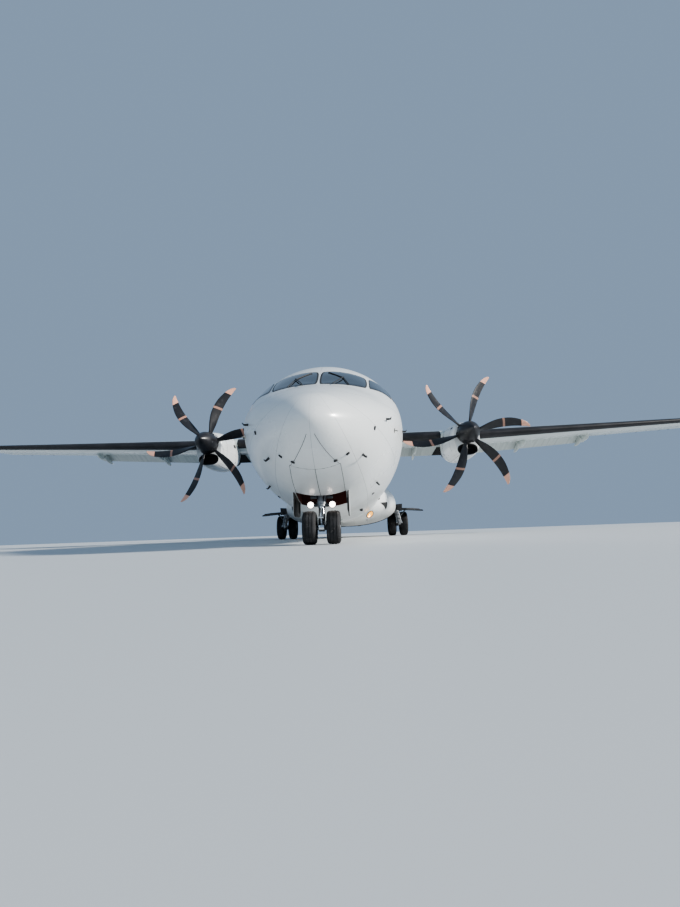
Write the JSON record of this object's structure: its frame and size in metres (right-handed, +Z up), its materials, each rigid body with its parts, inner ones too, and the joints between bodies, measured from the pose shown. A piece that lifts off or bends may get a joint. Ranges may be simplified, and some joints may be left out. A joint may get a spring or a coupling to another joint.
{
  "type": "turboprop airliner",
  "caption": "Regional turboprop airliner with a high wing, a T-tail and flaps down, parked on its landing gear",
  "frame": {"origin": "On the floor under the middle of the aircraft: the bottom centre of its bounding box, with its tyres standing at Z = 0.", "axes": "-Y points out of the nose and +Y to the tail, +X to the port wing tip, +Z up."},
  "size_m": [27.05, 27.166, 7.644],
  "materials": {
    "white_skin": "gloss paint",
    "white_composite": "gloss paint",
    "black_composite": "satin",
    "windscreen_glass": "clear",
    "engine_casing": "raw",
    "exhaust_steel": "heat stained",
    "gear_alloy": "satin paint",
    "wheel_alloy": "satin paint",
    "lamp_glass": "clear",
    "beacon_glass": "clear",
    "tyre_rubber": "matte"
  },
  "bodies": {
    "airframe": {"fuselage": "white_skin", "wing_centre": "white_skin", "wing_left": "white_skin", "wing_right": "white_skin", "nacelle_left": "white_skin", "nacelle_right": "white_skin", "wing_fairing": "white_composite", "belly_fairing": "white_composite", "fin": "white_composite", "tailplane": "white_composite", "nose_door_left": "white_composite", "nose_door_right": "white_composite", "main_gear_door_left": "black_composite", "main_gear_door_right": "black_composite", "windscreen": "windscreen_glass", "engine_left": "engine_casing", "engine_right": "engine_casing", "exhaust_left": "exhaust_steel", "exhaust_right": "exhaust_steel", "main_leg_left": "gear_alloy", "main_leg_right": "gear_alloy", "main_shock_left": "gear_alloy", "main_shock_right": "gear_alloy", "nose_leg": "gear_alloy", "nose_brace": "gear_alloy", "landing_lamp_left": "lamp_glass", "landing_lamp_right": "lamp_glass", "taxi_lamp_left": "lamp_glass", "taxi_lamp_right": "lamp_glass", "beacon_lamp": "beacon_glass"},
    "propeller_left": {"propeller_blades_left": "black_composite", "spinner_left": "black_composite"},
    "propeller_right": {"propeller_blades_right": "black_composite", "spinner_right": "black_composite"},
    "main_wheels_left": {"main_tyre_port_left": "tyre_rubber", "main_rim_port_left": "wheel_alloy", "main_tyre_starboard_left": "tyre_rubber", "main_rim_starboard_left": "wheel_alloy"},
    "main_wheels_right": {"main_tyre_port_right": "tyre_rubber", "main_rim_port_right": "wheel_alloy", "main_tyre_starboard_right": "tyre_rubber", "main_rim_starboard_right": "wheel_alloy"},
    "nose_fork": {"nose_fork": "gear_alloy"},
    "nose_wheels": {"nose_tyre_port": "tyre_rubber", "nose_rim_port": "wheel_alloy", "nose_tyre_starboard": "tyre_rubber", "nose_rim_starboard": "wheel_alloy"},
    "rudder": {"rudder": "white_composite"},
    "elevator_left": {"elevator_left": "white_composite"},
    "elevator_right": {"elevator_right": "white_composite"},
    "aileron_left": {"aileron_left": "white_composite"},
    "aileron_right": {"aileron_right": "white_composite"},
    "flap_inner_left": {"flap_inner_left": "white_composite"},
    "flap_inner_right": {"flap_inner_right": "white_composite"},
    "flap_outer_left": {"flap_outer_left": "white_composite"},
    "flap_outer_right": {"flap_outer_right": "white_composite"},
    "passenger_door": {"passenger_door": "white_skin"},
    "service_door": {"service_door": "white_skin"},
    "cargo_door": {"cargo_door": "white_skin"}
  },
  "joints": [
    {"name": "propeller_left_spin", "type": "hinge", "parent": "airframe", "child": "propeller_left", "pos_m": [4.05, -4.583, 3.07], "axis": [0, -1, 0], "continuous": true},
    {"name": "propeller_right_spin", "type": "hinge", "parent": "airframe", "child": "propeller_right", "pos_m": [-4.05, -4.583, 3.07], "axis": [0, -1, 0], "continuous": true},
    {"name": "main_wheels_left_roll", "type": "hinge", "parent": "airframe", "child": "main_wheels_left", "pos_m": [2.05, -1.283, 0.43], "axis": [1, 0, 0], "continuous": true},
    {"name": "main_wheels_right_roll", "type": "hinge", "parent": "airframe", "child": "main_wheels_right", "pos_m": [-2.05, -1.283, 0.43], "axis": [1, 0, 0], "continuous": true},
    {"name": "nose_steer", "type": "hinge", "parent": "airframe", "child": "nose_fork", "pos_m": [0, -12.053, 0.23], "axis": [0, 0.2526, 0.9676], "range_deg": [-60, 60]},
    {"name": "nose_wheels_roll", "type": "hinge", "parent": "nose_fork", "child": "nose_wheels", "pos_m": [0, -12.053, 0.23], "axis": [1, 0, 0], "continuous": true},
    {"name": "rudder_swing", "type": "hinge", "parent": "airframe", "child": "rudder", "pos_m": [0, 11.90038, 5.205], "axis": [0, 0.3294, 0.9442], "range_deg": [-27, 27]},
    {"name": "elevator_left_tilt", "type": "hinge", "parent": "airframe", "child": "elevator_left", "pos_m": [1.8375, 12.74338, 7.43], "axis": [0.9996, 0.027, 0], "range_deg": [-13, 23]},
    {"name": "elevator_right_tilt", "type": "hinge", "parent": "airframe", "child": "elevator_right", "pos_m": [-1.8375, 12.74338, 7.43], "axis": [0.9996, -0.027, 0], "range_deg": [-13, 23]},
    {"name": "aileron_left_tilt", "type": "hinge", "parent": "airframe", "child": "aileron_left", "pos_m": [11.4625, -0.92544, 3.72611], "axis": [0.9991, 0.0011, 0.0418], "range_deg": [-14, 14]},
    {"name": "aileron_right_tilt", "type": "hinge", "parent": "airframe", "child": "aileron_right", "pos_m": [-11.4625, -0.92544, 3.72611], "axis": [-0.9991, 0.0011, 0.0418], "range_deg": [-14, 14]},
    {"name": "flap_inner_left_extend", "type": "hinge", "parent": "airframe", "child": "flap_inner_left", "pos_m": [3.235, -0.63294, 2.99988], "axis": [-1, 0, 0], "range_deg": [-30, 0]},
    {"name": "flap_inner_right_extend", "type": "hinge", "parent": "airframe", "child": "flap_inner_right", "pos_m": [-3.235, -0.63294, 2.99988], "axis": [-1, 0, 0], "range_deg": [-30, 0]},
    {"name": "flap_outer_left_extend", "type": "hinge", "parent": "airframe", "child": "flap_outer_left", "pos_m": [7.3025, -0.66258, 3.15096], "axis": [-0.998, 0.0121, -0.0615], "range_deg": [-30, 0]},
    {"name": "flap_outer_right_extend", "type": "hinge", "parent": "airframe", "child": "flap_outer_right", "pos_m": [-7.3025, -0.66258, 3.15096], "axis": [-0.998, -0.0121, 0.0615], "range_deg": [-30, 0]},
    {"name": "passenger_door_open", "type": "hinge", "parent": "airframe", "child": "passenger_door", "pos_m": [1.225, 5.352, 1.215], "axis": [0, 1, 0], "range_deg": [0, 130]},
    {"name": "service_door_open", "type": "hinge", "parent": "airframe", "child": "service_door", "pos_m": [-1.43, 5.017, 1.96], "axis": [0, 0, 1], "range_deg": [0, 110]},
    {"name": "cargo_door_open", "type": "hinge", "parent": "airframe", "child": "cargo_door", "pos_m": [1.187, -9.638, 2.703], "axis": [0, -1, 0], "range_deg": [0, 110]}
  ],
  "couplings": [
    {"joint": "flap_inner_right_extend", "follows": "flap_inner_left_extend", "ratio": 1},
    {"joint": "flap_outer_left_extend", "follows": "flap_inner_left_extend", "ratio": 1},
    {"joint": "flap_outer_right_extend", "follows": "flap_inner_left_extend", "ratio": 1},
    {"joint": "elevator_right_tilt", "follows": "elevator_left_tilt", "ratio": 1},
    {"joint": "aileron_right_tilt", "follows": "aileron_left_tilt", "ratio": 1}
  ]
}
